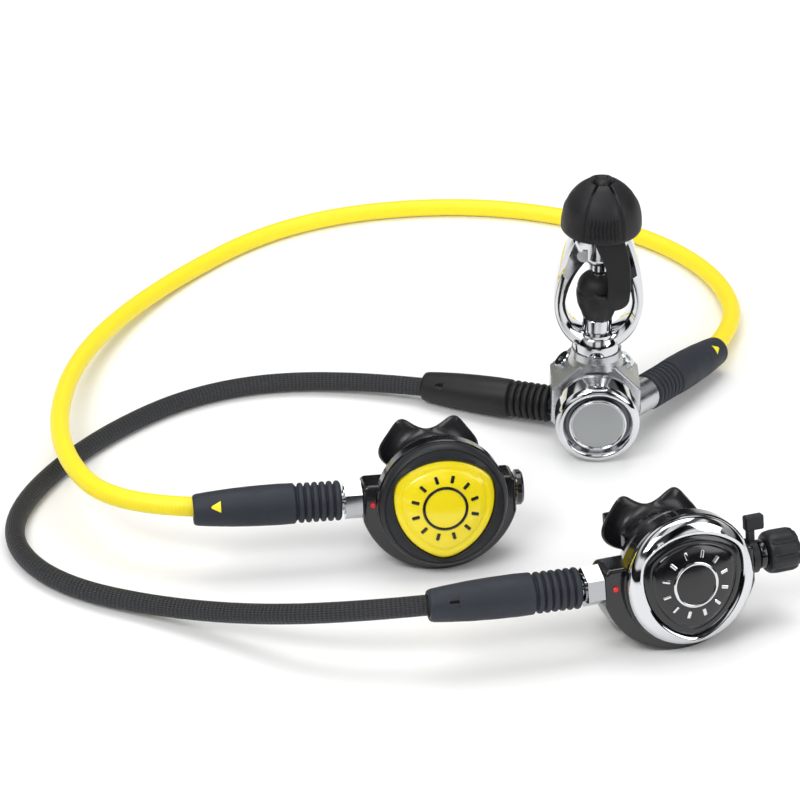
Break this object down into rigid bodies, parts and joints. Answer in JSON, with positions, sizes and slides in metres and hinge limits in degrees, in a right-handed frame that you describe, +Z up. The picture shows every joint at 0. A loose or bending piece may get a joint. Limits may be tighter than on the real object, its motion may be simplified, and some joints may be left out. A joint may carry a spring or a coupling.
{
  "type": "scuba regulator set",
  "caption": "Yoke scuba first stage with a braided hose to a primary second stage and a yellow hose to an octopus second stage.",
  "frame": {"origin": "centre line of the first stage neck, on the flat foot under its body", "axes": "+Z up through the yoke and its screw; -Y is the front, the way the spring cap and both covers face; +X to the right"},
  "size_m": [0.4225, 0.5089, 0.162],
  "materials": {
    "polished_chrome": "polished chrome plating",
    "satin_chrome": "satin chrome, fine bead blast",
    "charcoal_rubber": "matte moulded rubber",
    "black_braid": "diamond braided nylon sleeve",
    "yellow_hose": "smooth yellow rubber",
    "matte_black_plastic": "matte moulded plastic",
    "gloss_black_plastic": "glossy moulded plastic",
    "yellow_plastic": "glossy yellow moulding",
    "black_silicone": "soft moulded silicone",
    "clear_silicone": "translucent silicone",
    "plated_brass": "machined",
    "spring_steel": "stainless wire and strip",
    "sintered_bronze": "sintered",
    "red_plastic": "glossy red moulding"
  },
  "bodies": {
    "first_stage": {"first_stage_body": "satin_chrome", "port_plugs": "polished_chrome", "spring_cap": "polished_chrome", "cap_disc": "satin_chrome", "adjusting_ring": "plated_brass", "main_spring": "spring_steel", "pressure_diaphragm": "clear_silicone", "balance_spring": "spring_steel", "rear_plug": "polished_chrome", "inlet_filter": "sintered_bronze", "yoke_retainer": "polished_chrome", "yoke": "polished_chrome", "primary_hose": "black_braid", "octopus_hose": "yellow_hose", "hose_inlet_ends": "polished_chrome", "hose_outlet_ends": "polished_chrome", "primary_protectors": "charcoal_rubber", "octopus_protectors": "charcoal_rubber"},
    "supply_valve": {"spring_pad": "plated_brass", "valve_pin": "spring_steel", "high_pressure_valve": "plated_brass"},
    "screw_pad": {"screw_pad": "spring_steel"},
    "knob": {"yoke_screw": "polished_chrome", "yoke_knob": "charcoal_rubber"},
    "dust_cap": {"dust_cap": "charcoal_rubber", "dust_cap_strap": "charcoal_rubber"},
    "primary": {"primary_case": "gloss_black_plastic", "primary_cover_ring": "polished_chrome", "primary_valve_tube": "plated_brass", "primary_orifice": "plated_brass", "primary_exhaust_valve": "black_silicone", "primary_exhaust_tee": "gloss_black_plastic", "primary_mouthpiece": "black_silicone", "primary_mouthpiece_tie": "gloss_black_plastic", "primary_coupling_nut": "polished_chrome", "primary_lock_pin": "red_plastic", "primary_diaphragm": "clear_silicone", "primary_poppet_spring": "spring_steel"},
    "primary_purge": {"primary_purge_cover": "gloss_black_plastic"},
    "primary_lever": {"primary_demand_lever": "spring_steel"},
    "primary_poppet": {"primary_poppet": "plated_brass"},
    "octopus": {"octopus_case": "gloss_black_plastic", "octopus_cover_ring": "matte_black_plastic", "octopus_valve_tube": "plated_brass", "octopus_orifice": "plated_brass", "octopus_exhaust_valve": "black_silicone", "octopus_exhaust_tee": "gloss_black_plastic", "octopus_mouthpiece": "black_silicone", "octopus_mouthpiece_tie": "gloss_black_plastic", "octopus_coupling_nut": "polished_chrome", "octopus_lock_pin": "red_plastic", "octopus_diaphragm": "clear_silicone", "octopus_poppet_spring": "spring_steel", "octopus_end_plug": "gloss_black_plastic"},
    "octopus_purge": {"octopus_purge_cover": "yellow_plastic"},
    "octopus_lever": {"octopus_demand_lever": "spring_steel"},
    "octopus_poppet": {"octopus_poppet": "plated_brass"},
    "primary_adjuster": {"primary_adjuster_knob": "matte_black_plastic"},
    "adjuster_spindle": {"primary_adjuster_spindle": "plated_brass"},
    "venturi_lever": {"primary_venturi_lever": "matte_black_plastic"}
  },
  "joints": [
    {"name": "screw_travel", "type": "slide", "parent": "first_stage", "child": "screw_pad", "axis": [0, 0, 1], "range_m": [0, 0.0141]},
    {"name": "knob_turn", "type": "hinge", "parent": "screw_pad", "child": "knob", "pos_m": [0, 0, 0.12], "axis": [0, 0, 1], "range_deg": [0, 2520]},
    {"name": "dust_cap_lift", "type": "slide", "parent": "first_stage", "child": "dust_cap", "axis": [0, 0, 1], "range_m": [0, 0.0077]},
    {"name": "supply_valve_travel", "type": "slide", "parent": "first_stage", "child": "supply_valve", "axis": [0, 1, 0], "range_m": [0, 0.0008], "stiffness_N_per_m": 4000, "deforming": ["main_spring", "balance_spring", "pressure_diaphragm"]},
    {"name": "primary_swivel", "type": "hinge", "parent": "first_stage", "child": "primary", "pos_m": [-0.01874, -0.2094, 0.03633], "axis": [0.9511, 0.309, 0], "continuous": true},
    {"name": "primary_purge_press", "type": "slide", "parent": "primary", "child": "primary_purge", "axis": [-0.2998, 0.9228, -0.2419], "range_m": [0, 0.0022], "stiffness_N_per_m": 600, "deforming": ["primary_diaphragm"]},
    {"name": "primary_lever_tilt", "type": "hinge", "parent": "primary", "child": "primary_lever", "pos_m": [0.04172, -0.19547, 0.03768], "axis": [-0.0748, 0.2301, 0.9703], "range_deg": [-8, 0]},
    {"name": "primary_poppet_travel", "type": "slide", "parent": "primary", "child": "primary_poppet", "axis": [0.9511, 0.309, 0], "range_m": [0, 0.00045], "deforming": ["primary_poppet_spring"]},
    {"name": "octopus_swivel", "type": "hinge", "parent": "first_stage", "child": "octopus", "pos_m": [-0.14089, -0.12834, 0.03655], "axis": [0.9903, 0.1392, 0], "continuous": true},
    {"name": "octopus_purge_press", "type": "slide", "parent": "octopus", "child": "octopus_purge", "axis": [-0.1356, 0.9649, -0.225], "range_m": [0, 0.0022], "stiffness_N_per_m": 600, "deforming": ["octopus_diaphragm"]},
    {"name": "octopus_lever_tilt", "type": "hinge", "parent": "octopus", "child": "octopus_lever", "pos_m": [-0.08091, -0.12542, 0.03781], "axis": [-0.0313, 0.2228, 0.9744], "range_deg": [-8, 0]},
    {"name": "octopus_poppet_travel", "type": "slide", "parent": "octopus", "child": "octopus_poppet", "axis": [0.9903, 0.1392, 0], "range_m": [0, 0.00045], "deforming": ["octopus_poppet_spring"]},
    {"name": "adjuster_turn", "type": "hinge", "parent": "primary", "child": "primary_adjuster", "pos_m": [0.07998, -0.17732, 0.03633], "axis": [0.9511, 0.309, 0], "range_deg": [-540, 540]},
    {"name": "adjuster_spindle_travel", "type": "slide", "parent": "primary", "child": "adjuster_spindle", "axis": [0.9511, 0.309, 0], "range_m": [-0.0016, 0.0016], "deforming": ["primary_poppet_spring"]},
    {"name": "venturi_turn", "type": "hinge", "parent": "primary", "child": "venturi_lever", "pos_m": [0.07047, -0.18041, 0.03633], "axis": [0.9511, 0.309, 0], "range_deg": [-30, 30]}
  ],
  "couplings": [
    {"joint": "screw_travel", "follows": "knob_turn", "m_per_rad": 0.00031831},
    {"joint": "dust_cap_lift", "follows": "knob_turn", "m_per_rad": 0.00017189},
    {"joint": "primary_lever_tilt", "follows": "primary_purge_press", "rad_per_m": -60},
    {"joint": "primary_poppet_travel", "follows": "primary_purge_press", "ratio": 0.186},
    {"joint": "octopus_lever_tilt", "follows": "octopus_purge_press", "rad_per_m": -60},
    {"joint": "octopus_poppet_travel", "follows": "octopus_purge_press", "ratio": 0.186},
    {"joint": "adjuster_spindle_travel", "follows": "adjuster_turn", "m_per_rad": 0.00015915}
  ]
}
